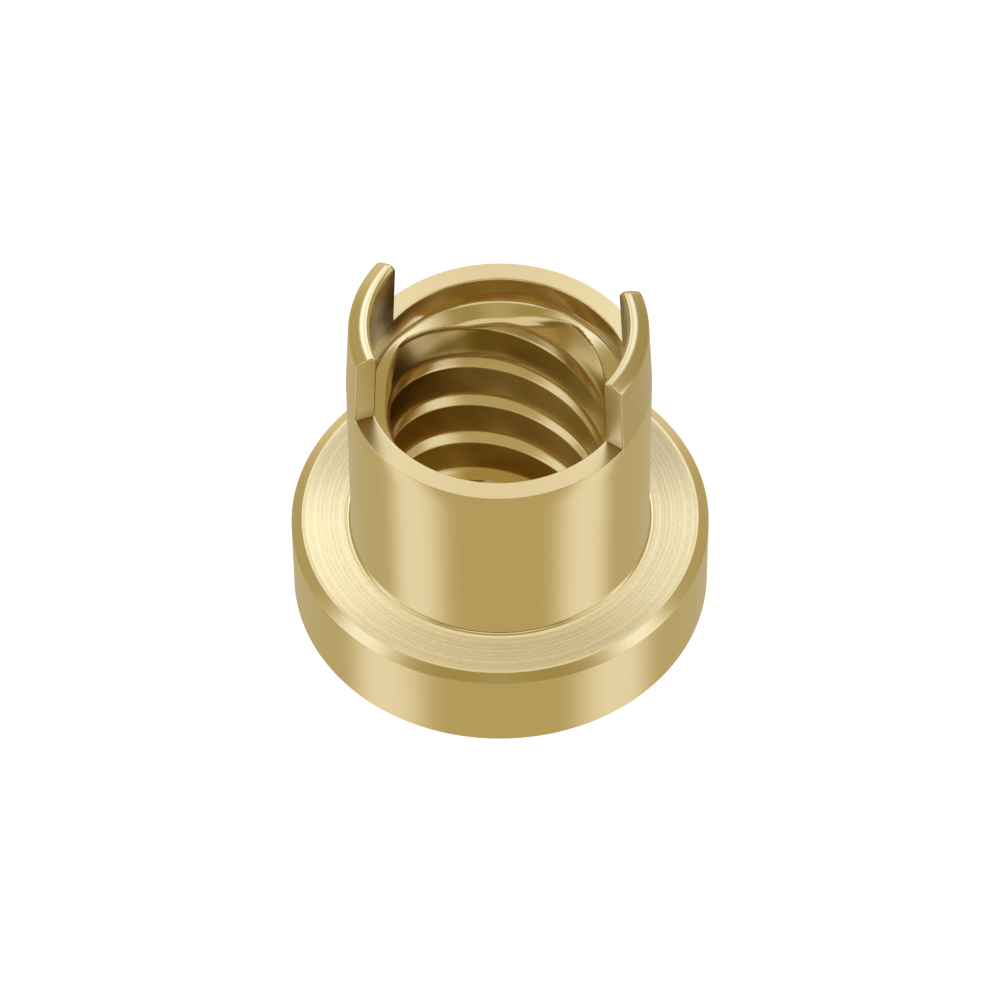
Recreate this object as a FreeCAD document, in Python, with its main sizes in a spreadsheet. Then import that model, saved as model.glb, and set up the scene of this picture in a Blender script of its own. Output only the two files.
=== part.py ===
# Lead screw nut: the small two-pronged half of a spring-loaded anti-backlash pair.
# It is one brass turning, in millimetres. The origin is the centre of the flange's
# flat underside, and +Z runs up the bore towards the prongs.
import FreeCAD
import Part
import Sketcher
import os

doc = FreeCAD.newDocument("LeadScrewNut")

# Two lengths closer than this are the same edge
sameLength = 1e-4

# Sizes that can be set by themselves, in millimetres and degrees. Radial sizes grow
# outwards from the thread: its depth, the socket's clearance, the wall, the flange's rim.
drivingSizes = {
    "threadMajorDiameter": 8.2,
    "threadDepth": 0.5,
    "threadPitch": 2.0,
    "threadStarts": 4,
    "threadCrestWidth": 0.62,
    "threadRootWidth": 0.44,
    "threadGrooveHeight": 1.73,
    "socketClearance": 0.2,
    "socketDepth": 1.05,
    "socketFilletRadius": 0.2,
    "socketFloorSlope": 28.0,
    "wallThickness": 0.7,
    "neckLength": 7.1,
    "footFilletRadius": 0.12,
    "flangeRim": 2.0,
    "flangeThickness": 3.2,
    "flangeBevelWidth": 0.35,
    "flangeBevelHeight": 0.15,
    "prongLength": 2.82,
    "prongArc": 56.7,
    "prongTurn": -8.5,
    "prongLean": 0.13,
    "prongRidgeInset": 0.55,
    "prongOuterDrop": 0.2,
}

# Sizes that follow from them
derivedSizes = {
    "grooveRadius": "threadMajorDiameter / 2",
    "boreRadius": "grooveRadius - threadDepth",
    "socketRadius": "grooveRadius + socketClearance",
    "neckRadius": "socketRadius + wallThickness",
    "flangeRadius": "neckRadius + flangeRim",
    "flangeFaceRadius": "flangeRadius - flangeBevelWidth",
    "flangeEdgeHeight": "flangeThickness - flangeBevelHeight",
    "ringHeight": "flangeThickness + neckLength",
    "socketCornerHeight": "ringHeight - socketDepth",
    "boreTopHeight": "socketCornerHeight - (socketRadius - boreRadius) * tan(socketFloorSlope * 1 deg)",
    "threadLead": "threadPitch * threadStarts",
    "flankWidth": "(threadPitch - threadCrestWidth - threadRootWidth) / 2",
    "grooveMiddle": "threadGrooveHeight - 2 * threadPitch",
    "grooveRootLow": "grooveMiddle - threadRootWidth / 2",
    "grooveRootHigh": "grooveMiddle + threadRootWidth / 2",
    "grooveOverlap": "threadDepth / 2",
    "grooveOpenRadius": "boreRadius - grooveOverlap",
    "grooveOpenFlank": "flankWidth * (threadDepth + grooveOverlap) / threadDepth",
    "grooveOpenLow": "grooveRootLow - grooveOpenFlank",
    "grooveOpenHigh": "grooveRootHigh + grooveOpenFlank",
    "grooveRun": "ringHeight - grooveMiddle",
    "prongTipHeight": "ringHeight + prongLength",
    "prongShoulderRadius": "neckRadius - prongLean",
    "prongShoulderHeight": "prongTipHeight - prongOuterDrop",
    "prongRidgeRadius": "neckRadius - prongRidgeInset",
    "prongInnerRadius": "socketRadius - prongLean",
    "prongRoundHeight": "prongTipHeight - (prongRidgeRadius - prongInnerRadius)",
}


def makeSheet():
    sheet = doc.addObject("Spreadsheet::Sheet", "Dimensions")
    cells = {name: str(value) for name, value in drivingSizes.items()}
    cells.update({name: "=" + formula for name, formula in derivedSizes.items()})
    for row, (name, text) in enumerate(cells.items(), 1):
        sheet.set(f"A{row}", name)
        sheet.set(f"B{row}", text)
        sheet.setAlias(f"B{row}", name)
    doc.recompute()
    return sheet


sheet = makeSheet()


def fromSheet(name):
    return float(sheet.get(name))


def originFeature(body, role):
    return next(item for item in body.Origin.OriginFeatures if item.Role == role)


def axialSketch(body, name, turn="0"):
    """A sketch in a plane through the bore's axis: radius across, height up.

    The plane stands at the angle turn, in degrees, counterclockwise from +X.
    """
    sketch = body.newObject("Sketcher::SketchObject", name)
    sketch.AttachmentSupport = (originFeature(body, "XZ_Plane"), [""])
    sketch.MapMode = "FlatFace"
    sketch.AttachmentOffset = FreeCAD.Placement(
        FreeCAD.Vector(), FreeCAD.Rotation(FreeCAD.Vector(0, 1, 0), 0))
    sketch.setExpression("AttachmentOffset.Rotation.Angle", turn)
    return sketch


def closeOutline(sketch, corners, roundSide=None):
    """Sides from corner to corner, each corner tied to its named radius and height.

    A corner with no height lies on the base. The side numbered roundSide is a
    quarter arc that runs tangent into the side after it.
    """
    points = [FreeCAD.Vector(fromSheet(across), fromSheet(up) if up else 0, 0) for across, up in corners]
    count = len(points)
    for side, start in enumerate(points):
        end = points[(side + 1) % count]
        if side == roundSide:
            radius = start.x - end.x
            circle = Part.Circle(FreeCAD.Vector(start.x, end.y, 0), FreeCAD.Vector(0, 0, 1), radius)
            sketch.addGeometry(Part.ArcOfCircle(circle, circle.parameter(start), circle.parameter(end)))
        else:
            sketch.addGeometry(Part.LineSegment(start, end))
    for side in range(count):
        joint = "Tangent" if side == roundSide else "Coincident"
        sketch.addConstraint(Sketcher.Constraint(joint, side, 2, (side + 1) % count, 1))
    for side, (across, up) in enumerate(corners):
        tieCorner(sketch, "DistanceX", side, across)
        if up:
            tieCorner(sketch, "DistanceY", side, up)
        else:
            sketch.addConstraint(Sketcher.Constraint("PointOnObject", side, 1, -1))


def tieCorner(sketch, direction, side, name):
    number = sketch.addConstraint(Sketcher.Constraint(direction, side, 1, fromSheet(name)))
    sketch.setExpression(f"Constraints[{number}]", f"Dimensions.{name}")


def circleEdges(shape, radius, height):
    """Names of the full round edges of that radius at that height."""
    names = []
    for number, edge in enumerate(shape.Edges, 1):
        curve = edge.Curve
        if curve.TypeId != "Part::GeomCircle":
            continue
        if abs(curve.Radius - radius) < sameLength and abs(curve.Center.z - height) < sameLength:
            names.append(f"Edge{number}")
    return names


def roundEdge(body, name, base, radius, height, size):
    doc.recompute()
    fillet = body.newObject("PartDesign::Fillet", name)
    fillet.Base = (base, circleEdges(base.Shape, fromSheet(radius), fromSheet(height)))
    fillet.setExpression("Radius", f"Dimensions.{size}")
    return fillet


def repeatRound(body, name, feature, count):
    """Copies of the feature, evenly spaced in a full turn about the bore's axis."""
    doc.recompute()
    pattern = body.newObject("PartDesign::PolarPattern", name)
    pattern.Originals = [feature]
    pattern.Axis = (originFeature(body, "Z_Axis"), [""])
    pattern.Angle = 360
    pattern.Refine = feature.Refine
    pattern.setExpression("Occurrences", count)
    body.Tip = pattern
    doc.recompute()
    return pattern


def turnBlank(body):
    """Flange, neck, socket with its drill-point floor, and the plain bore."""
    sketch = axialSketch(body, "TurnedSection")
    closeOutline(sketch, [
        ("boreRadius", None),
        ("flangeRadius", None),
        ("flangeRadius", "flangeEdgeHeight"),
        ("flangeFaceRadius", "flangeThickness"),
        ("neckRadius", "flangeThickness"),
        ("neckRadius", "ringHeight"),
        ("socketRadius", "ringHeight"),
        ("socketRadius", "socketCornerHeight"),
        ("boreRadius", "boreTopHeight"),
    ])
    blank = body.newObject("PartDesign::Revolution", "TurnedBlank")
    blank.Profile = (sketch, [""])
    blank.ReferenceAxis = (sketch, ["V_Axis"])
    blank.Angle = 360
    foot = roundEdge(body, "FootFillet", blank, "neckRadius", "flangeThickness", "footFilletRadius")
    return roundEdge(body, "SocketFillet", foot, "socketRadius", "socketCornerHeight", "socketFilletRadius")


def addProngs(body):
    """Two arcs of the neck's wall that lean in a little, rounded inside their tips."""
    sketch = axialSketch(body, "ProngSection", "Dimensions.prongTurn")
    closeOutline(sketch, [
        ("socketRadius", "ringHeight"),
        ("neckRadius", "ringHeight"),
        ("prongShoulderRadius", "prongShoulderHeight"),
        ("prongRidgeRadius", "prongTipHeight"),
        ("prongInnerRadius", "prongRoundHeight"),
    ], roundSide=3)
    prong = body.newObject("PartDesign::Revolution", "Prong")
    prong.Profile = (sketch, [""])
    prong.ReferenceAxis = (sketch, ["V_Axis"])
    prong.Midplane = True
    prong.setExpression("Angle", "Dimensions.prongArc")
    return repeatRound(body, "ProngPair", prong, "2")


def cutThread(body):
    """Right-handed grooves of one trapezoid section, one for each start.

    The section is drawn wider than a groove's mouth, so that its flanks cross the
    bore's wall, and it runs from below the flange to the open socket.
    """
    sketch = axialSketch(body, "GrooveSection")
    closeOutline(sketch, [
        ("grooveOpenRadius", "grooveOpenLow"),
        ("grooveRadius", "grooveRootLow"),
        ("grooveRadius", "grooveRootHigh"),
        ("grooveOpenRadius", "grooveOpenHigh"),
    ])
    groove = body.newObject("PartDesign::SubtractiveHelix", "ThreadGroove")
    groove.Profile = (sketch, [""])
    groove.ReferenceAxis = (sketch, ["V_Axis"])
    groove.Mode = "pitch-height-angle"
    groove.LeftHanded = False
    groove.Refine = False
    groove.setExpression("Pitch", "Dimensions.threadLead")
    groove.setExpression("Height", "Dimensions.grooveRun")
    return repeatRound(body, "ThreadStarts", groove, "Dimensions.threadStarts")


def checkDocument(bodies):
    for item in doc.Objects:
        if "Invalid" in item.State or "Error" in item.State:
            raise RuntimeError(f"{item.Name} failed: {item.State}")
    for body in bodies:
        if body.Shape.isNull() or not body.Shape.isValid():
            raise RuntimeError(f"{body.Label} has no valid shape")
        if len(body.Shape.Solids) != 1:
            raise RuntimeError(f"{body.Label} is not one solid")


nut = doc.addObject("PartDesign::Body", "Nut")
nut.Label = "nut_body"
nut.Placement = FreeCAD.Placement()
turnBlank(nut)
pronged = addProngs(nut)
threaded = cutThread(nut)
checkDocument([nut])
if threaded.Shape.Volume >= pronged.Shape.Volume:
    raise RuntimeError("the thread's grooves cut nothing")

os.makedirs("parts", exist_ok=True)
nut.Shape.exportStep(f"parts/{nut.Label}.step")
print(f"{nut.Label}: {nut.Shape.Volume:.2f} cubic mm, box {nut.Shape.BoundBox}")
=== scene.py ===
# Dresses the lead screw nut: one brass turning with a four-start thread and two prongs.
# Sizes in the dictionaries are millimetres and degrees, and the meshes are in metres.
import math
import bmesh
import bpy
import numpy as np
from mathutils import Matrix, Vector


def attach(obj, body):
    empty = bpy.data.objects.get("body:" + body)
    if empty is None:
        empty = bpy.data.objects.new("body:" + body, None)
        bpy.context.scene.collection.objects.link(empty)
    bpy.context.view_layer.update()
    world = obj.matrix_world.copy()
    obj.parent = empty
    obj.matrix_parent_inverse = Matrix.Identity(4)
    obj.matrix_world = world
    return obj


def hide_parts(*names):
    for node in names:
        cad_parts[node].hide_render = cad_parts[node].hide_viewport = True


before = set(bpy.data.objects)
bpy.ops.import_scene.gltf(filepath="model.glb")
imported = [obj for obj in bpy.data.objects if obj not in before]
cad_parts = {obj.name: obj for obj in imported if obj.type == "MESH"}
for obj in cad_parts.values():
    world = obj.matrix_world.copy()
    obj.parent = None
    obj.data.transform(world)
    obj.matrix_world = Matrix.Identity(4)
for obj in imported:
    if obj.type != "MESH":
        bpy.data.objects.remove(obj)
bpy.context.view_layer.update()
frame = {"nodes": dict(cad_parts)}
millimetre = 0.001
print("frame loaded:", ", ".join(frame["nodes"]))

cameraPlace = {
    "lens": 222.232,
    "sensor": 36.0,
    "distance": 209.543,
    "elevation": 51.4417,
    "roll": 0.464,
    "aimAcross": 0.0012,
    "aimUp": 2.4838,
    "nearest": 1.0,
    "farthest": 10000.0,
}


def makeCamera(place):
    # Stands at the distance from the point it aims at, looks down by the elevation,
    # and is rolled about its own line of sight.
    tilt = math.radians(place["elevation"])
    roll = math.radians(place["roll"])
    across = Vector((1, 0, 0))
    upward = Vector((0, math.sin(tilt), math.cos(tilt)))
    back = Vector((0, -math.cos(tilt), math.sin(tilt)))
    stand = across * place["aimAcross"] + upward * place["aimUp"] + back * place["distance"]
    right = across * math.cos(roll) - upward * math.sin(roll)
    top = across * math.sin(roll) + upward * math.cos(roll)
    data = bpy.data.cameras.new("studioCamera")
    data.lens = place["lens"]
    data.sensor_width = place["sensor"]
    data.clip_start = place["nearest"] * millimetre
    data.clip_end = place["farthest"] * millimetre
    camera = bpy.data.objects.new("studioCamera", data)
    bpy.context.collection.objects.link(camera)
    turn = Matrix((right, top, back)).transposed().to_4x4()
    camera.matrix_world = Matrix.Translation(stand * millimetre) @ turn
    bpy.context.scene.camera = camera


makeCamera(cameraPlace)
print("camera placed")

nutSizes = {
    # flange and neck
    "flangeRadius": 7.0,
    "flangeThickness": 3.2,
    "flangeBevelWidth": 0.35,
    "flangeBevelHeight": 0.15,
    "undersideEdge": 0.06,
    "bevelEdge": 0.012,
    "footFillet": 0.12,
    "neckRadius": 5.0,
    "ringHeight": 10.3,
    "ringOuterEdge": 0.02,
    "ringInnerEdge": 0.06,
    # socket and bore
    "socketRadius": 4.3,
    "socketDepth": 1.05,
    "socketFillet": 0.2,
    "socketFloorSlope": 28.0,
    "boreRadius": 3.6,
    # thread: the height is that of a groove's middle at +X
    "threadDepth": 0.5,
    "threadPitch": 2.0,
    "threadStarts": 4,
    "grooveHeight": 1.73,
    "grooveWidth": 1.38,
    "lowerFlank": 0.87,
    "upperFlank": 0.36,
    "cornerBlend": 0.05,
    "mouthBlend": 0.3,
    # prongs: the first is on the right
    "prongCentres": (-8.5, 171.5),
    "prongArc": 56.7,
    "tipHeight": 13.12,
    "shoulderHeight": 12.92,
    "ridgeRadius": 4.45,
    "prongLean": 0.13,
    "shoulderEdge": 0.2,
    "ridgeEdge": 0.45,
    "innerRound": 0.14,
    "endEdge": 0.04,
    "frontCorner": 0.06,
    "backCornerRight": 0.3,
    "backCornerLeft": 0.16,
    "cornerReach": 1.0,  # how far down from the tip the corners' rounding goes
    "cornerFade": 0.8,
    # mesh
    "gapColumns": 92,
    "prongColumns": 72,
    "prongMargin": 1.3,  # plain columns start this many end edges in
    "edgeSteps": 3,
    "arcSteps": 5,
    "filletSteps": 10,
    "faceRows": 6,
    "wallRows": 8,
    "prongRows": 5,
    "rowsPerPitch": 24,
    "mouthRows": 26,
    "levelAbove": 8.6,  # the bore's rows climb with the thread below this height
    "undersideRows": (0, 0.02, 0.5, 0.98, 1),
    "besideFillet": 0.1,
    "besideTip": 0.2,
    "besideTipSplay": 0.01,
    "support": 0.012,
    "mergeWithin": 0.002,
    "leastLength": 0.0002,
    "sharpAbove": 32,
}


def roundedPath(corners, steps):
    # Straight runs between corners, each inner corner replaced by an arc tangent to both
    # runs. Along an arc the point is its start, plus the inward normal times the radius
    # times one less the cosine of the angle swept, plus the run's direction times the
    # radius times its sine. A close point beside each arc keeps the shading flat.
    corners = [(np.array(corner[:2], float), corner[2]) for corner in corners]
    side = nutSizes["support"]
    path = [corners[0][0][None]]
    for (before, _), (corner, radius), (after, _) in zip(corners, corners[1:], corners[2:]):
        first = (corner - before) / np.linalg.norm(corner - before)
        last = (after - corner) / np.linalg.norm(after - corner)
        sweep = math.acos(np.clip(first @ last, -1, 1))
        reach = radius * math.tan(sweep / 2)
        inward = (last - first * math.cos(sweep)) / math.sin(sweep)
        start = corner - first * reach
        angle = np.linspace(0, sweep, steps + 1)[:, None]
        arc = start + inward * radius * (1 - np.cos(angle)) + first * radius * np.sin(angle)
        path += [(start - first * side)[None], arc, (arc[-1] + last * side)[None]]
    path.append(corners[-1][0][None])
    return np.concatenate(path)


def splitRun(start, end, count):
    # Evenly spaced points strictly between the two ends: the start times one less the
    # share, plus the end times the share.
    share = np.linspace(0, 1, count + 2)[1:-1, None]
    return np.array(start) * (1 - share) + np.array(end) * share


def insetPath(path, depth):
    # Each point moves by the depth to the left of the path's direction. The move grows
    # from nothing over the first and last stretch, where the path meets the ring.
    ahead = np.gradient(path, axis=0)
    ahead /= np.linalg.norm(ahead, axis=1, keepdims=True)
    left = np.stack([-ahead[:, 1], ahead[:, 0]], 1)
    length = np.concatenate([[0], np.cumsum(np.linalg.norm(np.diff(path, axis=0), axis=1))])
    fromEnd = np.minimum(length, length[-1] - length)
    grown = np.clip(fromEnd / nutSizes["endEdge"], 0, 1)
    return path + left * (depth * grown)[:, None]


def softMax(first, second, blend):
    # The larger of the two, raised where they are closer than the blend by a quarter of
    # the blend times the square of the share by which they are closer.
    blend = np.maximum(blend, 1e-9)
    share = np.clip(blend - np.abs(first - second), 0, None) / blend
    return np.maximum(first, second) + share ** 2 * blend / 4


def boreSurface(angle, height):
    # Radius of the bore: the plain bore plus the depth of the nearest groove, or the
    # drill-point floor of the socket where that is wider. A groove's middle climbs one lead
    # in a turn. Its depth rises from nothing to the root over the lower flank, which is the
    # longer one, and falls to nothing again over the upper flank.
    size = nutSizes
    pitch = size["threadPitch"]
    lead = pitch * size["threadStarts"]
    middle = size["grooveHeight"] + lead * angle / 360
    offset = (height - middle + pitch / 2) % pitch - pitch / 2
    half = size["grooveWidth"] / 2
    blend = size["cornerBlend"]
    rise = (offset + half) / size["lowerFlank"]
    fall = (half - offset) / size["upperFlank"]
    flank = -softMax(-rise, -fall, blend)
    share = 1 - softMax(1 - softMax(flank, 0, blend), 0, blend)
    thread = size["boreRadius"] + size["threadDepth"] * share
    slope = math.tan(math.radians(size["socketFloorSlope"]))
    corner = size["ringHeight"] - size["socketDepth"]
    floor = size["socketRadius"] + (height - corner) / slope
    top = socketPath[-1][1]
    mouth = size["mouthBlend"] * np.clip((top - height) / size["mouthBlend"], 0, 1)
    return softMax(thread, floor, mouth)


def onCircle(angle, radius, height):
    # A point on a circle about the axis: the radius times the cosine and the sine of the
    # angle, at the height.
    turn = np.radians(angle)
    return np.stack(np.broadcast_arrays(radius * np.cos(turn), radius * np.sin(turn), height), -1)


def sweptPatch(path, angles):
    # The path's radius and height carried round the axis: rows follow the path.
    return onCircle(angles[None, :], path[:, :1], path[:, 1:])


def sectorAngles():
    # One list of angles for each prong and each gap after it. A prong's first and last
    # angles follow the quarter round of its end edges, one less the cosine, and those
    # between follow a half turn's cosine, so that they are closest near both ends.
    size = nutSizes
    arc = size["prongArc"]
    edge = math.degrees(size["endEdge"] / size["neckRadius"])
    quarter = np.linspace(0, 90, size["edgeSteps"] + 1)
    rounding = edge * (1 - np.cos(np.radians(quarter)))
    spread = np.cos(np.linspace(math.pi, 0, size["prongColumns"]))
    sectors = []
    for centre in size["prongCentres"]:
        start = centre - arc / 2
        end = centre + arc / 2
        middle = centre + (arc / 2 - size["prongMargin"] * edge) * spread
        prong = np.concatenate([start + rounding, middle, (end - rounding)[::-1]])
        following = centre + 180 - arc / 2
        sectors.append((prong, np.linspace(end, following, size["gapColumns"])))
    return sectors


def outerPaths():
    # The outer section from the underside's edge to the ring's: straight runs with rounded
    # corners, cut where the finish changes.
    size = nutSizes
    top = size["flangeThickness"]
    flange = size["flangeRadius"]
    neck = size["neckRadius"]
    beside = size["besideFillet"]
    edgeHeight = top - size["flangeBevelHeight"]
    faceRadius = flange - size["flangeBevelWidth"]
    lower = roundedPath([
        (flange - 2 * size["undersideEdge"], 0, 0),
        (flange, 0, size["undersideEdge"]),
        (flange, edgeHeight, size["bevelEdge"]),
        (faceRadius, top, size["bevelEdge"]),
        (faceRadius - beside, top, 0),
    ], size["arcSteps"])
    upper = roundedPath([
        (neck + size["footFillet"] + beside, top, 0),
        (neck, top, size["footFillet"]),
        (neck, top + size["footFillet"] + beside, 0),
    ], size["filletSteps"])
    end = (neck, size["ringHeight"] - size["ringOuterEdge"])
    face = np.concatenate([lower[-1:], splitRun(lower[-1], upper[0], size["faceRows"]), upper[:1]])
    wall = np.concatenate([upper[-1:], splitRun(upper[-1], end, size["wallRows"]), [end]])
    return lower, face, upper, wall


def prongPath():
    # A prong's section: up the outer wall, over the shoulder, the ridge and the inner
    # round, and down the inner wall. Both walls lean in by the same amount at the tip.
    size = nutSizes
    outer = size["neckRadius"]
    inner = size["socketRadius"]
    outerTop = outer - size["prongLean"]
    innerTop = inner - size["prongLean"]
    tip = size["tipHeight"]
    beside = size["besideTip"]
    splay = size["besideTipSplay"]
    crown = roundedPath([
        (outerTop + splay, size["shoulderHeight"] - beside, 0),
        (outerTop, size["shoulderHeight"], size["shoulderEdge"]),
        (size["ridgeRadius"], tip, size["ridgeEdge"]),
        (innerTop, tip, size["innerRound"]),
        (innerTop + splay, tip - size["innerRound"] - beside, 0),
    ], size["arcSteps"])
    foot = (outer, size["ringHeight"] - size["ringOuterEdge"])
    footTop = (outer, foot[1] + size["endEdge"])
    innerFoot = (inner, size["ringHeight"] - size["ringInnerEdge"])
    innerFootTop = (inner, innerFoot[1] + size["endEdge"])
    climb = splitRun(footTop, crown[0], size["prongRows"])
    fall = splitRun(crown[-1], innerFootTop, size["prongRows"])
    return np.concatenate([[foot, footTop], climb, crown, fall, [innerFootTop, innerFoot]])


def cornerDrop(angles, heights):
    # How far a prong's tip falls towards its ends. Within the corner's radius of an end the
    # fall is the radius less the root of its square less the square of the part left of it,
    # and it fades out down the prong by the square of the share of the way.
    size = nutSizes
    fall = np.zeros(len(angles))
    turned = np.radians(angles - angles[0]) * size["ridgeRadius"]
    radii = (size["frontCorner"], size["backCornerRight"])
    if math.cos(math.radians(angles[0])) < 0:
        radii = (size["backCornerLeft"], size["frontCorner"])
    for radius, fromEnd in zip(radii, (turned, turned[-1] - turned)):
        part = np.clip(radius - fromEnd, 0, None)
        fall += radius - np.sqrt(radius ** 2 - part ** 2)
    above = heights - size["tipHeight"] + size["cornerReach"]
    share = np.clip(above / size["cornerFade"], 0, 1)
    return fall * share * share


def ringPath(count):
    # The ring's section: a quarter round at each edge, the centre plus the edge's radius
    # times the sine and cosine, and a flat between. It has as many points as a prong's
    # section, so that a prong's end face can join the two.
    size = nutSizes
    outerEdge = size["ringOuterEdge"]
    innerEdge = size["ringInnerEdge"]
    top = size["ringHeight"]
    quarter = np.radians(np.linspace(0, 90, size["arcSteps"] + 1))[:, None]
    turn = np.concatenate([np.sin(quarter), np.cos(quarter)], 1)
    outerCentre = np.array([size["neckRadius"], top]) - outerEdge
    outer = outerCentre + outerEdge * turn[::-1]
    innerCentre = np.array([size["socketRadius"] + innerEdge, top - innerEdge])
    inner = innerCentre + innerEdge * turn * [-1, 1]
    side = np.array([size["support"], 0])
    flat = splitRun(outer[-1] - side, inner[0] + side, count - 2 * len(quarter) - 2)
    return np.concatenate([outer, [outer[-1] - side], flat, [inner[0] + side], inner])


def makeSocketPath():
    # The socket's wall and the rounded corner at its foot, down to the drill-point floor.
    # The last two points of the rounded path lie on the floor, which the bore's surface
    # makes, so they are left off.
    size = nutSizes
    slope = math.radians(size["socketFloorSlope"])
    corner = np.array([size["socketRadius"], size["ringHeight"] - size["socketDepth"]])
    floorEnd = corner - np.array([math.cos(slope), math.sin(slope)])
    path = roundedPath([
        (size["socketRadius"], size["ringHeight"] - size["ringInnerEdge"], 0),
        (*corner, size["socketFillet"]),
        (*floorEnd, 0),
    ], size["filletSteps"])
    return path[:-2]


def borePatches(angles):
    # The radius of the bore at every angle and height. Rows are level where the grooves run
    # out in the socket's floor. Below that a row's height climbs one lead in a turn, and is
    # kept between the underside and the level rows.
    size = nutSizes
    pitch = size["threadPitch"]
    starts = size["threadStarts"]
    top = size["levelAbove"]
    mouth = np.linspace(socketPath[-1][1], top, size["mouthRows"])[:, None]
    rows = size["rowsPerPitch"] * math.ceil(top / pitch + starts)
    climbing = np.arange(rows + 1)[:, None] / size["rowsPerPitch"] * pitch - pitch * starts
    height = np.clip(climbing + pitch * starts * (angles - angles[0]) / 360, 0, top)
    return [onCircle(angles, boreSurface(angles, rise), rise) for rise in (mouth, height)]


def prongPatches(angles, prong, ring):
    # A prong's section carried round its arc and drawn in near its ends, by the end edge
    # times one less the sine of a quarter turn. Each end face joins the section to the ring.
    size = nutSizes
    quarter = np.radians(np.linspace(0, 90, size["edgeSteps"] + 1))
    drawnIn = size["endEdge"] * (1 - np.sin(quarter))
    depths = np.zeros(len(angles))
    depths[:len(drawnIn)] = drawnIn
    depths[-len(drawnIn):] = drawnIn[::-1]
    sections = np.stack([insetPath(prong, depth) for depth in depths], 1)
    sections[..., 1] -= cornerDrop(angles, sections[..., 1])
    patches = [(onCircle(angles, sections[..., 0], sections[..., 1]), 4)]
    for end in (0, -1):
        inside = insetPath(prong, size["endEdge"] + size["support"])
        inside[:, 1] -= cornerDrop(angles, inside[:, None, 1])[:, end]
        rows = np.stack([sections[:, end], inside, ring])
        patches.append((onCircle(angles[end], rows[..., 0], rows[..., 1]), 5))
    return patches


def nutPatches():
    # Every patch is a grid of points with the number of its finish: 0 turned sides, 1 flange
    # face and underside, 2 bore and socket, 3 ring, 4 prong walls and tips, 5 prong ends.
    sectors = sectorAngles()
    angles = np.concatenate([part for pair in sectors for part in pair])
    lower, face, upper, wall = outerPaths()
    prong = prongPath()
    ring = ringPath(len(prong))
    turned = ((lower, 0), (face, 1), (upper, 0), (wall, 0), (socketPath, 2))
    patches = [(sweptPatch(path, angles), finish) for path, finish in turned]
    patches += [(patch, 2) for patch in borePatches(angles)]

    # Underside, from the bore's outline to the flange's edge
    share = np.array(nutSizes["undersideRows"])[:, None]
    radius = boreSurface(angles, 0 * angles) * (1 - share) + lower[0][0] * share
    patches.append((onCircle(angles, radius, 0 * share), 1))

    for prongAngles, gapAngles in sectors:
        patches.append((sweptPatch(ring, gapAngles), 3))
        patches += prongPatches(prongAngles, prong, ring)
    return patches


def buildMesh(name, patches):
    # Each grid's neighbouring points make its four-cornered faces. Grids share their
    # borders, which are merged.
    points, faces, finishes = [], [], []
    count = 0
    for grid, finish in patches:
        rows, columns = grid.shape[:2]
        number = count + np.arange(rows * columns).reshape(rows, columns)
        quads = np.stack([number[:-1, :-1], number[:-1, 1:], number[1:, 1:], number[1:, :-1]], -1)
        points.append(grid.reshape(-1, 3))
        faces.append(quads.reshape(-1, 4))
        finishes.append(np.full(len(faces[-1]), finish))
        count += rows * columns
    mesh = bpy.data.meshes.new(name)
    mesh.from_pydata(np.concatenate(points) * millimetre, [], np.concatenate(faces).tolist())
    mesh.polygons.foreach_set("material_index", np.concatenate(finishes).astype(np.int32))
    solid = bmesh.new()
    solid.from_mesh(mesh)
    within = nutSizes["mergeWithin"] * millimetre
    leastLength = nutSizes["leastLength"] * millimetre
    bmesh.ops.remove_doubles(solid, verts=solid.verts, dist=within)
    bmesh.ops.dissolve_degenerate(solid, edges=solid.edges, dist=leastLength)
    bmesh.ops.recalc_face_normals(solid, faces=solid.faces)
    openEdges = sum(not edge.is_manifold for edge in solid.edges)
    print(name, "faces:", len(solid.faces), "open edges:", openEdges)
    solid.to_mesh(mesh)
    solid.free()
    mesh.polygons.foreach_set("use_smooth", np.ones(len(mesh.polygons), bool))
    mesh.set_sharp_from_angle(angle=math.radians(nutSizes["sharpAbove"]))
    return mesh


socketPath = makeSocketPath()
nut = bpy.data.objects.new("nut_turning", buildMesh("nut_turning", nutPatches()))
bpy.context.collection.objects.link(nut)
print("nut's surfaces built")


def addNode(tree, kind, inputs=None, **settings):
    # A node with its settings, and each input linked or set.
    node = tree.nodes.new(kind)
    for name, value in settings.items():
        setattr(node, name, value)
    for socket, value in (inputs or {}).items():
        if isinstance(value, bpy.types.NodeSocket):
            tree.links.new(value, node.inputs[socket])
        else:
            node.inputs[socket].default_value = value
    return node


def calc(tree, operation, *values):
    # One sum on numbers, such as a product or the larger of two.
    inputs = dict(enumerate(values))
    return addNode(tree, "ShaderNodeMath", inputs, operation=operation).outputs[0]


def vectorCalc(tree, operation, *values):
    # Length and dot product give a number, the others a vector.
    inputs = dict(enumerate(values))
    node = addNode(tree, "ShaderNodeVectorMath", inputs, operation=operation)
    return node.outputs["Value" if operation in ("LENGTH", "DOT_PRODUCT") else "Vector"]


def scaled(tree, vector, amount):
    # The vector or colour times a number.
    inputs = {0: vector, "Scale": amount}
    return addNode(tree, "ShaderNodeVectorMath", inputs, operation="SCALE").outputs["Vector"]


def fade(tree, value, low, high, bottom=0.0, top=1.0):
    # Smooth step from bottom to top while the value goes from low to high.
    inputs = {"Value": value, "From Min": low, "From Max": high, "To Min": bottom, "To Max": top}
    return addNode(tree, "ShaderNodeMapRange", inputs, interpolation_type="SMOOTHSTEP").outputs[0]


def blendTo(tree, level, target, share):
    # The level moved by the share of the way to the target.
    gap = calc(tree, "SUBTRACT", target, level)
    return calc(tree, "MULTIPLY_ADD", gap, share, level)


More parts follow.
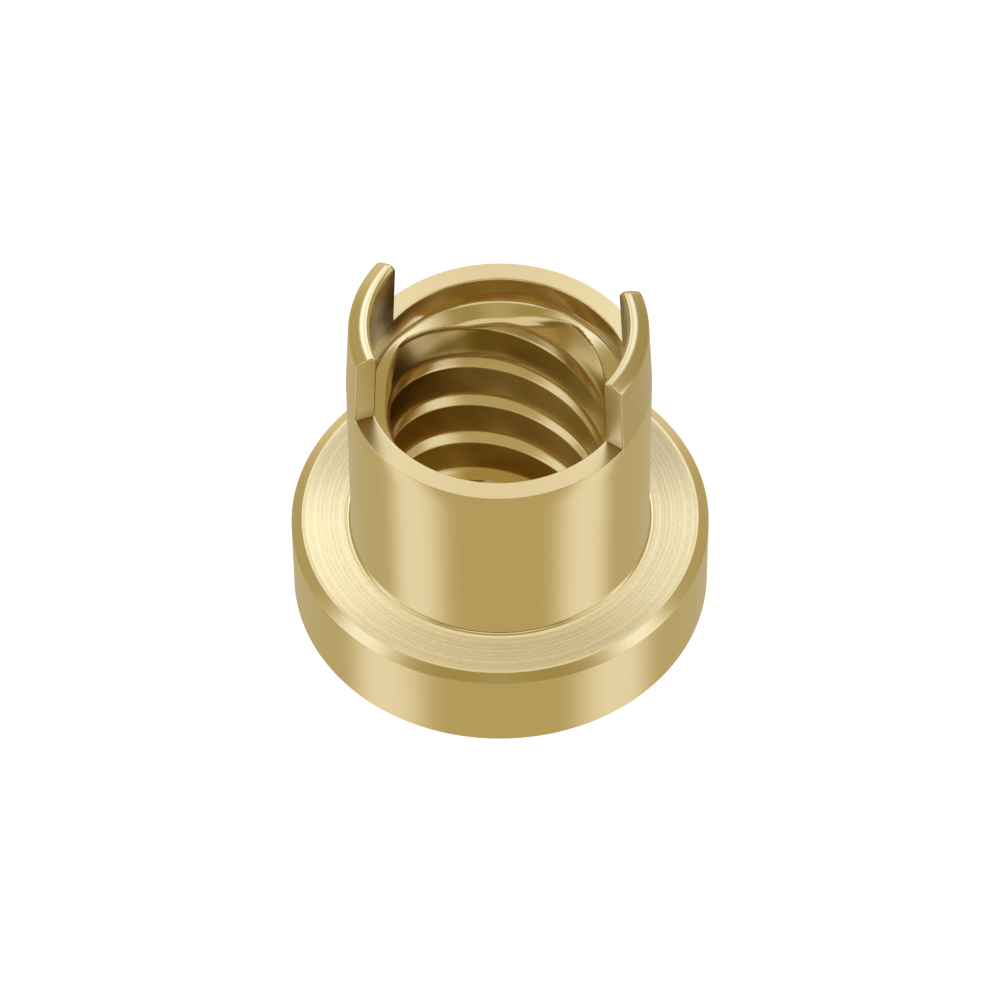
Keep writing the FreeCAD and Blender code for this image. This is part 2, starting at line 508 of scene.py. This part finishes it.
def mixColour(tree, share, first, second):
    # The first colour where the share is nought, the second where it is one.
    inputs = {0: share}
    for socket, colour in ((6, first), (7, second)):
        linked = isinstance(colour, bpy.types.NodeSocket)
        inputs[socket] = colour if linked else (*colour, 1)
    return addNode(tree, "ShaderNodeMix", inputs, data_type="RGBA").outputs[2]


white = (1, 1, 1)

# Four numbers are places from and to, in millimetres, and the brightness at each
# The brass's own colour and grain, and the shade and light painted into it in places
brassToneAndShade = {
    "metal": (0.85, 0.66, 0.32),
    # the ground face: brightness of its fine grain and of its rings, and their fineness
    "grainShare": 0.7,
    "grainFineness": 24,
    "grainDetail": 2.0,
    "ringShare": 1.3,
    "ringFineness": 7,
    "ringDetail": 4.0,
    "ringRoughness": 0.7,
    # painted light and shade: the face is darker along its front edge and behind the neck, where
    # less light reaches it, a little lighter on the left and darker on the right
    "faceShadeFront": (-5.6, -3.0, 0.84, 1.0),
    "faceShadeBehind": (-0.5, 3.0, 1.06, 0.74),
    "faceShadeAcross": (-4, 6, 1.05, 0.9),
    # painted shade on the prongs' inner walls, which mirror only the socket: its colour, their
    # radius and height, and the painted shade of the right prong
    "prongInsideShade": (0.37, 0.31, 0.20),
    "prongShadeTo": (4.24, 4.36),
    "prongShadeBelow": (13.0, 12.8),
    "prongShadeAcross": (-1, 1, 1.0, 0.85),
    # the prongs' milled ends: painted shade at their foot, and a painted darker reflection of them
    # in the ring
    "milledFootShade": (10.3, 10.8, 0.7, 1.0),
    "milledMirroredShade": (0.40, 0.37, 0.20),
    # painted shade on the thread: its crests, and its grooves low down and higher up
    "boreCrestShade": (0.95, 0.95, 0.95),
    "boreGrooveShadeLow": (0.78, 0.81, 0.78),
    "boreGrooveShadeHigh": (0.45, 0.42, 0.23),
    "grooveShadeRise": (6.0, 7.2),
    "grooveShadeFrom": (3.62, 3.76),
    "grooveShadeBelow": (8.35, 7.95),
    "boreFootShade": (0.80, 0.68, 0.42),
    "boreFootShadeBelow": (1.7, 1.2),
    # between these heights reflections pass through the grooves' run-outs, wholly on the
    # left and partly on the right
    "openAbove": 7.9,
    "openBelow": 9.2,
    "openLeftOf": -2.3,
    "openRightOf": 2.3,
    "openRight": 0.5,
}

# Each finish is the material with its number, in this order. across: marks to a millimetre,
# along: how often they change round the axis, relief: their depth
finishes = {
    "turned brass side": {
        "runs": "height", "roughness": 0.22, "spread": 0.3,
        "across": 14, "along": 3, "relief": 0.002, "outside": True},
    "turned brass face": {
        "runs": "radius", "roughness": 0.3, "spread": 0.6,
        "across": 9, "along": 10, "relief": 0.003, "outside": True},
    "brass bore": {
        "runs": "height", "roughness": 0.2, "spread": 0.2,
        "across": 7, "along": 3, "relief": 0.0005, "outside": False},
    "brass ring": {
        "runs": "radius", "roughness": 0.22, "spread": 0.4,
        "across": 12, "along": 3, "relief": 0.001, "outside": True},
    "brass prong wall": {
        "runs": "height", "roughness": 0.22, "spread": 0.3,
        "across": 14, "along": 3, "relief": 0.001, "outside": False},
    "milled brass": {
        "runs": "height", "roughness": 0.42, "spread": 0.0,
        "across": 8, "along": 20, "relief": 0.002, "outside": False},
}
markDetail = 3.0


def faceGrainAndShade(tree, place, radius, split):
    # Fine grain all over, and rings left by the turning tool: each adds its share times
    # what its noise is above a half.
    toneAndShade = brassToneAndShade
    grain = addNode(tree, "ShaderNodeTexNoise", {
        "Vector": place, "Scale": toneAndShade["grainFineness"], "Detail": toneAndShade["grainDetail"]}).outputs[0]
    along = addNode(tree, "ShaderNodeCombineXYZ", {0: radius}).outputs[0]
    rings = addNode(tree, "ShaderNodeTexNoise", {
        "Vector": along, "Scale": toneAndShade["ringFineness"], "Detail": toneAndShade["ringDetail"],
        "Roughness": toneAndShade["ringRoughness"]}).outputs[0]
    share = calc(tree, "MULTIPLY_ADD", calc(tree, "SUBTRACT", grain, 0.5), toneAndShade["grainShare"], 1.0)
    share = calc(tree, "MULTIPLY_ADD", calc(tree, "SUBTRACT", rings, 0.5), toneAndShade["ringShare"], share)
    # Painted shade: darker along the front edge, behind the neck and on the right, and a little
    # lighter on the left
    share = calc(tree, "MULTIPLY", share, fade(tree, split[1], *toneAndShade["faceShadeFront"]))
    share = calc(tree, "MULTIPLY", share, fade(tree, split[1], *toneAndShade["faceShadeBehind"]))
    share = calc(tree, "MULTIPLY", share, fade(tree, split[0], *toneAndShade["faceShadeAcross"]))
    return scaled(tree, toneAndShade["metal"], share)


def prongShadeColour(tree, radius, split):
    # Painted shade: the inner walls, which see only the socket, are darker, and the right prong a
    # little
    inside = calc(tree, "SUBTRACT", 1.0, fade(tree, radius, *brassToneAndShade["prongShadeTo"]))
    below = fade(tree, split[2], *brassToneAndShade["prongShadeBelow"])
    shadeTint = mixColour(tree, calc(tree, "MULTIPLY", inside, below), white, brassToneAndShade["prongInsideShade"])
    across = fade(tree, split[0], *brassToneAndShade["prongShadeAcross"])
    return vectorCalc(tree, "MULTIPLY", shadeTint, scaled(tree, brassToneAndShade["metal"], across))


def milledShadeColour(tree, split):
    # Painted shade at the foot, and a painted darker reflection for the ring that mirrors it
    share = fade(tree, split[2], *brassToneAndShade["milledFootShade"])
    glossy = addNode(tree, "ShaderNodeLightPath").outputs["Is Glossy Ray"]
    shadeTint = mixColour(tree, glossy, white, brassToneAndShade["milledMirroredShade"])
    return vectorCalc(tree, "MULTIPLY", shadeTint, scaled(tree, brassToneAndShade["metal"], share))


def boreShadeColour(tree, radius, split):
    # Painted shade: darker in the grooves, and browner near the underside, where little light comes
    toneAndShade = brassToneAndShade
    height = split[2]
    deep = fade(tree, radius, *toneAndShade["grooveShadeFrom"])
    inThread = fade(tree, height, *toneAndShade["grooveShadeBelow"])
    rise = fade(tree, height, *toneAndShade["grooveShadeRise"])
    grooveShade = mixColour(tree, rise, toneAndShade["boreGrooveShadeLow"], toneAndShade["boreGrooveShadeHigh"])
    thread = mixColour(tree, calc(tree, "MULTIPLY", deep, inThread), toneAndShade["boreCrestShade"], grooveShade)
    shadeTint = mixColour(tree, fade(tree, height, *toneAndShade["boreFootShadeBelow"]), white, toneAndShade["boreFootShade"])
    shaded = vectorCalc(tree, "MULTIPLY", shadeTint, thread)
    return vectorCalc(tree, "MULTIPLY", shaded, toneAndShade["metal"])


def runOuts(tree, split):
    # How clear the grooves' run-outs are to reflections: one on the left, less on the right
    above = calc(tree, "GREATER_THAN", split[2], brassToneAndShade["openAbove"])
    below = calc(tree, "LESS_THAN", split[2], brassToneAndShade["openBelow"])
    left = calc(tree, "LESS_THAN", split[0], brassToneAndShade["openLeftOf"])
    right = calc(tree, "GREATER_THAN", split[0], brassToneAndShade["openRightOf"])
    beside = calc(tree, "MULTIPLY_ADD", right, brassToneAndShade["openRight"], left)
    return calc(tree, "MULTIPLY", calc(tree, "MULTIPLY", above, below), beside)


def makeBrass(name, look):
    # Metal with fine marks that run round the axis. Their noise reads the direction from the
    # axis, and the radius or the height times the marks to a millimetre.
    material = bpy.data.materials.new(name)
    material.use_nodes = True
    tree = material.node_tree
    shader = tree.nodes["Principled BSDF"]
    shader.inputs["Metallic"].default_value = 1
    shader.inputs["Roughness"].default_value = look["roughness"]
    shader.inputs["Anisotropic"].default_value = look["spread"]
    place = addNode(tree, "ShaderNodeTexCoord").outputs["Object"]
    inMillimetres = scaled(tree, place, 1 / millimetre)
    split = addNode(tree, "ShaderNodeSeparateXYZ", {0: inMillimetres}).outputs
    flat = addNode(tree, "ShaderNodeCombineXYZ", {0: split[0], 1: split[1]}).outputs[0]
    outward = vectorCalc(tree, "NORMALIZE", flat)
    radius = vectorCalc(tree, "LENGTH", flat)

    # The surface tips outwards or upwards across the marks
    if look["runs"] == "radius":
        runs = radius
        tips = outward
    else:
        runs = split[2]
        tips = addNode(tree, "ShaderNodeCombineXYZ", {2: 1.0}).outputs[0]
    tree.links.new(tips, shader.inputs["Tangent"])

    colour = None
    if name == "brass bore":
        colour = boreShadeColour(tree, radius, split)
    elif name == "turned brass face":
        colour = faceGrainAndShade(tree, inMillimetres, radius, split)
    elif name == "milled brass":
        colour = milledShadeColour(tree, split)
    elif name == "brass prong wall":
        colour = prongShadeColour(tree, radius, split)
    if colour:
        tree.links.new(colour, shader.inputs["Base Color"])
    else:
        shader.inputs["Base Color"].default_value = (*brassToneAndShade["metal"], 1)

    step = calc(tree, "MULTIPLY", runs, look["across"])
    above = addNode(tree, "ShaderNodeCombineXYZ", {2: step}).outputs[0]
    marks = vectorCalc(tree, "MULTIPLY_ADD", outward, (look["along"],) * 3, above)
    noise = {"Vector": marks, "Scale": 1.0, "Detail": markDetail}
    grain = addNode(tree, "ShaderNodeTexNoise", noise).outputs[0]
    relief = {"Height": grain, "Strength": 1.0, "Distance": look["relief"] * millimetre}
    bump = addNode(tree, "ShaderNodeBump", relief)
    tree.links.new(bump.outputs[0], shader.inputs["Normal"])

    # The flange and the neck don't mirror each other: reflections pass through them, and
    # through the inner surfaces too from behind, or once they have passed one surface
    light = addNode(tree, "ShaderNodeLightPath").outputs
    mirrored = light["Is Glossy Ray"]
    if not look["outside"]:
        behind = addNode(tree, "ShaderNodeNewGeometry").outputs["Backfacing"]
        if name == "brass bore":
            behind = calc(tree, "MAXIMUM", behind, runOuts(tree, split))
        passed = calc(tree, "GREATER_THAN", light["Transparent Depth"], 0.5)
        behind = calc(tree, "MAXIMUM", behind, passed)
        mirrored = calc(tree, "MULTIPLY", mirrored, behind)
    tree.links.new(calc(tree, "SUBTRACT", 1.0, mirrored), shader.inputs["Alpha"])
    return material


for name, look in finishes.items():
    nut.data.materials.append(makeBrass(name, look))
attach(nut, "root")
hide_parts("nut_body")
print("brass finishes made")

studio = {
    "floorHalf": 250.0,
    "floorGrey": 0.3,
    "floorWhite": 0.9,
    # painted shade: the floor's glow inside the bore is a warm shade, deeper towards the bore's
    # wall
    "boreShade": (4.4, 5.6),
    "floorShadeMiddle": (0.66, 0.61, 0.50),
    "floorShadeEdge": (0.30, 0.24, 0.12),
    "floorShadeEdgeFrom": (0.3, 3.9),
    # light levels: the sky, and the sweep under the horizon, which brightens to the back
    "sky": 0.16,
    "horizon": (-0.12, 0.12),
    "sweep": (-0.35, 0.75, 0.54, 0.55),
    # a tall strip light at each side, in one tilted plane, wider towards its foot
    "stripPlane": (-0.150, -0.972, 0.179),
    "stripWidth": (-0.8, 0.95, 0.26, 0.13),
    "stripEdge": (1.2, 0.4),
    "stripStart": (0.28, 0.42),
    "stripLevel": (0, 0.9, 0.95, 1.3),
    # light level against the tent's colour there
    "tones": (
        (0.15, (0.15, 0.105, 0.04)),
        (0.365, (0.365, 0.327, 0.137)),
        (0.54, (0.54, 0.50, 0.33)),
        (0.61, (0.61, 0.56, 0.43)),
        (0.74, (0.74, 0.71, 0.62)),
        (0.92, (0.92, 0.95, 1.03)),
        (1.05, (1.05, 1.14, 1.45)),
        (1.4, (1.4, 1.66, 2.4)),
    ),
    "brightest": 1.4,
    # soft cards, mirrored left and right: where they stand, how far they reach, their level
    "cards": (
        {"toward": (0, 0.8, 0.6), "full": 60, "gone": 95, "level": 0.46},
        {"toward": (0, 0.9, 0.43), "full": 20, "gone": 50, "level": 0.80},
        {"toward": (0.62, 0.60, 0.50), "full": 8, "gone": 26, "level": 0.46},
        {"toward": (0, 0.6234, 0.7819), "full": 12, "gone": 30, "level": 0.76},
        {"toward": (0, -0.1, 0.99), "full": 10, "gone": 24, "level": 0.36},
        {"toward": (0, -0.31, 0.95), "full": 3, "gone": 11, "level": 0.58},
        {"toward": (0.27, 0.66, 0.70), "full": 4, "gone": 16, "level": 1.9},
        {"toward": (0.22, -0.70, 0.68), "full": 14, "gone": 23, "level": 0.9},
        {"toward": (0.70, -0.46, 0.54), "full": 8, "gone": 17, "level": 0.9},
        {"toward": (0.95, -0.32, 0.06), "full": 20, "gone": 34, "level": 0.9},
        {"toward": (0.56, -0.10, 0.82), "full": 5, "gone": 14, "level": 0.95},
    ),
}


def makeWorld():
    # A soft tent: one light level for each direction, then the colour that goes with it.
    world = bpy.data.worlds.new("softTent")
    bpy.context.scene.world = world
    world.use_nodes = True
    tree = world.node_tree
    tree.nodes.clear()
    direction = addNode(tree, "ShaderNodeTexCoord").outputs["Generated"]
    split = addNode(tree, "ShaderNodeSeparateXYZ", {0: direction}).outputs
    side = calc(tree, "ABSOLUTE", split[0])
    halves = {0: side, 1: split[1], 2: split[2]}
    mirrored = addNode(tree, "ShaderNodeCombineXYZ", halves).outputs[0]

    level = studio["sky"]
    for card in studio["cards"]:
        toward = Vector(card["toward"]).normalized()
        near = vectorCalc(tree, "DOT_PRODUCT", mirrored, toward)
        gone, full = [math.cos(math.radians(card[edge])) for edge in ("gone", "full")]
        level = blendTo(tree, level, card["level"], fade(tree, near, gone, full))
    sweep = fade(tree, split[1], *studio["sweep"])
    level = blendTo(tree, sweep, level, fade(tree, split[2], *studio["horizon"]))

    offPlane = vectorCalc(tree, "DOT_PRODUCT", mirrored, studio["stripPlane"])
    halfWidth = fade(tree, split[2], *studio["stripWidth"])
    fromMiddle = calc(tree, "DIVIDE", calc(tree, "ABSOLUTE", offPlane), halfWidth)
    start = fade(tree, side, *studio["stripStart"])
    strip = calc(tree, "MULTIPLY", fade(tree, fromMiddle, *studio["stripEdge"]), start)
    level = blendTo(tree, level, fade(tree, split[2], *studio["stripLevel"]), strip)

    brightest = studio["brightest"]
    ramp = {"Fac": calc(tree, "DIVIDE", level, brightest)}
    tones = addNode(tree, "ShaderNodeValToRGB", ramp)
    stops = tones.color_ramp.elements
    while len(stops) < len(studio["tones"]):
        stops.new(0.5)
    for stop, (place, colour) in zip(stops, studio["tones"]):
        stop.position = place / brightest
        stop.color = (*colour, 1)
    tones.color_ramp.interpolation = "LINEAR"
    tent = addNode(tree, "ShaderNodeBackground", {"Color": tones.outputs[0], "Strength": 1.0})
    backdrop = addNode(tree, "ShaderNodeBackground", {"Color": (*white, 1), "Strength": 1.0})

    # Glossy rays keep the tent, because the metal has to mirror its cards
    light = addNode(tree, "ShaderNodeLightPath").outputs
    seen = calc(tree, "MAXIMUM", light["Is Camera Ray"], light["Is Transmission Ray"])
    shades = {0: seen, 1: tent.outputs[0], 2: backdrop.outputs[0]}
    shown = addNode(tree, "ShaderNodeMixShader", shades)
    addNode(tree, "ShaderNodeOutputWorld", {"Surface": shown.outputs[0]})


def makeFloor():
    # A flat square that glows white and takes the nut's shadow. By the distance from the
    # axis its glow goes from a painted warm shade inside the bore to white. It is clear from below.
    half = studio["floorHalf"] * millimetre
    corners = [(-half, -half, 0), (half, -half, 0), (half, half, 0), (-half, half, 0)]
    mesh = bpy.data.meshes.new("paleFloor")
    mesh.from_pydata(corners, [], [(0, 1, 2, 3)])
    floor = bpy.data.objects.new("paleFloor", mesh)
    bpy.context.collection.objects.link(floor)
    material = bpy.data.materials.new("pale sweep")
    material.use_nodes = True
    tree = material.node_tree
    tree.nodes.clear()
    grey = (studio["floorGrey"],) * 3
    matt = addNode(tree, "ShaderNodeBsdfDiffuse", {"Color": (*grey, 1)}).outputs[0]
    place = addNode(tree, "ShaderNodeTexCoord").outputs["Object"]
    fromAxis = vectorCalc(tree, "LENGTH", place)
    outside, nearWall = [
        fade(tree, fromAxis, *[radius * millimetre for radius in studio[name]])
        for name in ("boreShade", "floorShadeEdgeFrom")]
    shaded = mixColour(tree, nearWall, studio["floorShadeMiddle"], studio["floorShadeEdge"])
    glowColour = mixColour(tree, outside, shaded, (studio["floorWhite"],) * 3)
    glow = addNode(tree, "ShaderNodeEmission", {"Color": glowColour, "Strength": 1.0}).outputs[0]
    lit = addNode(tree, "ShaderNodeAddShader", {0: matt, 1: glow}).outputs[0]
    clear = addNode(tree, "ShaderNodeBsdfTransparent").outputs[0]
    under = addNode(tree, "ShaderNodeNewGeometry").outputs["Backfacing"]
    shown = addNode(tree, "ShaderNodeMixShader", {0: under, 1: lit, 2: clear}).outputs[0]
    addNode(tree, "ShaderNodeOutputMaterial", {"Surface": shown})
    mesh.materials.append(material)
    floor.visible_glossy = False


makeWorld()
makeFloor()
bpy.context.scene.view_settings.view_transform = "Standard"
print("floor and light made")
